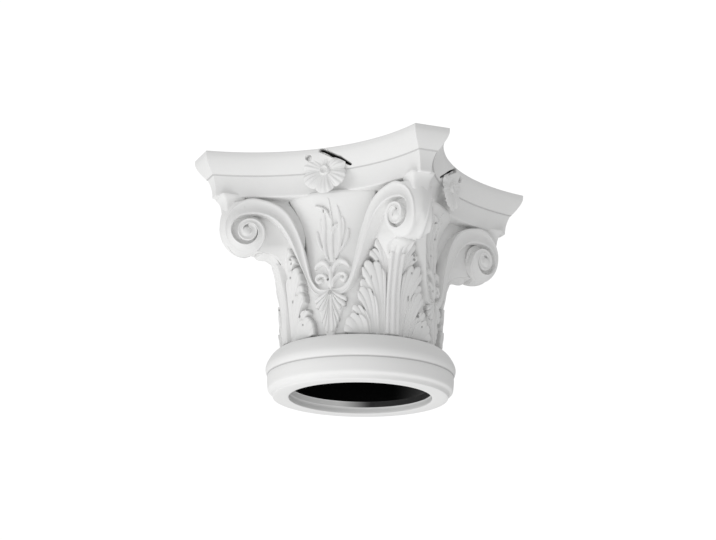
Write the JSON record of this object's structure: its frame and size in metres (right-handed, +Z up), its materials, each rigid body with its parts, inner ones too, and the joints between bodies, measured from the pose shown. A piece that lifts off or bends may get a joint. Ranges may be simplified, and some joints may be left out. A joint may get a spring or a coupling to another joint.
{
  "type": "corinthian capital",
  "caption": "Hollow cast Corinthian column capital: moulded foot ring, acanthus leaves, stems with corner volutes, and a concave abacus with flowers.",
  "frame": {"origin": "centre of the underside of the foot ring, on the axis", "axes": "+Z up along the column's axis; the four hollow faces of the abacus look along +X, -X, +Y and -Y, and its corners lie on the diagonals"},
  "size_m": [0.3908, 0.3908, 0.331],
  "materials": {
    "cast_plaster": "matte white cast gypsum plaster, smooth, with a dark unfinished hollow"
  },
  "bodies": {
    "root": {"capital": "cast_plaster"}
  },
  "joints": []
}
